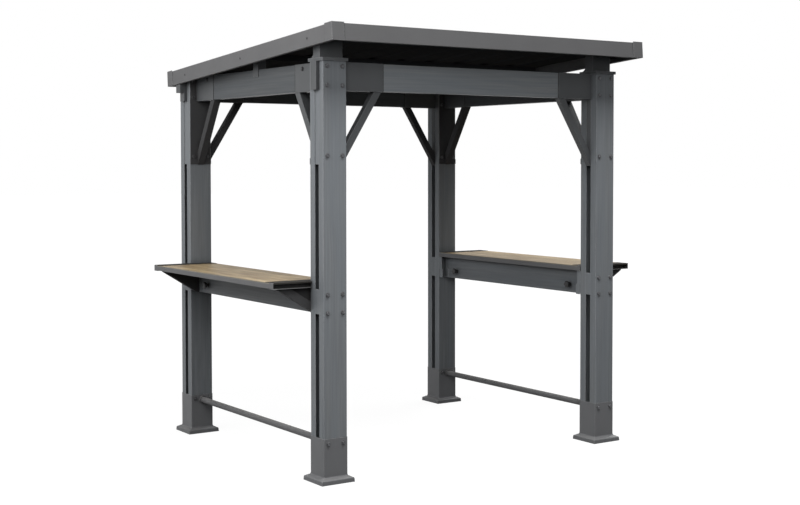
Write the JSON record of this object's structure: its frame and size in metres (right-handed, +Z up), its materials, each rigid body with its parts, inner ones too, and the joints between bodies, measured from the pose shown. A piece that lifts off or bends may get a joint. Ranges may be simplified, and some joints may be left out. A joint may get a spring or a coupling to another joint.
{
  "type": "garden gazebo",
  "caption": "Open steel grill gazebo: slotted posts on flared bases carry a single-slope roof on braced beams, with a wooden serving bar and a foot rail along each side.",
  "frame": {"origin": "centre of the overall box, on the ground", "axes": "+X to the right along the front, +Y to the back, +Z up"},
  "size_m": [2.499, 2.0578, 2.4168],
  "materials": {
    "grained_paint": "charcoal grey coating with a printed wood grain",
    "plain_paint": "plain charcoal grey powder coating, satin",
    "roof_paint": "plain grey powder coating, satin",
    "bar_wood": "oiled tan boards"
  },
  "bodies": {
    "root": {"front_left_post": "grained_paint", "front_left_base": "plain_paint", "front_left_head": "plain_paint", "front_left_braces": "plain_paint", "front_right_post": "grained_paint", "front_right_base": "plain_paint", "front_right_head": "plain_paint", "front_right_braces": "plain_paint", "back_left_post": "grained_paint", "back_left_base": "plain_paint", "back_left_head": "plain_paint", "back_left_braces": "plain_paint", "back_right_post": "grained_paint", "back_right_base": "plain_paint", "back_right_head": "plain_paint", "back_right_braces": "plain_paint", "front_beam": "grained_paint", "front_fascia": "roof_paint", "back_beam": "grained_paint", "back_fascia": "roof_paint", "left_beam": "grained_paint", "left_fascia": "roof_paint", "right_beam": "grained_paint", "right_fascia": "roof_paint", "cross_beam_sleeves": "plain_paint", "side_beam_sleeves": "plain_paint", "beam_end_caps": "plain_paint", "brace_seats": "plain_paint", "apron_hangers": "plain_paint", "bar_gussets": "plain_paint", "slot_clips": "plain_paint", "foot_rail_sockets": "plain_paint", "purlin_struts": "plain_paint", "roof_brackets": "plain_paint", "fascia_corners": "roof_paint", "roof_sheet": "roof_paint", "roof_purlins": "roof_paint", "left_bar_frame": "plain_paint", "left_bar_boards": "bar_wood", "left_apron": "grained_paint", "left_foot_rail": "plain_paint", "right_bar_frame": "plain_paint", "right_bar_boards": "bar_wood", "right_apron": "grained_paint", "right_foot_rail": "plain_paint"}
  },
  "joints": []
}
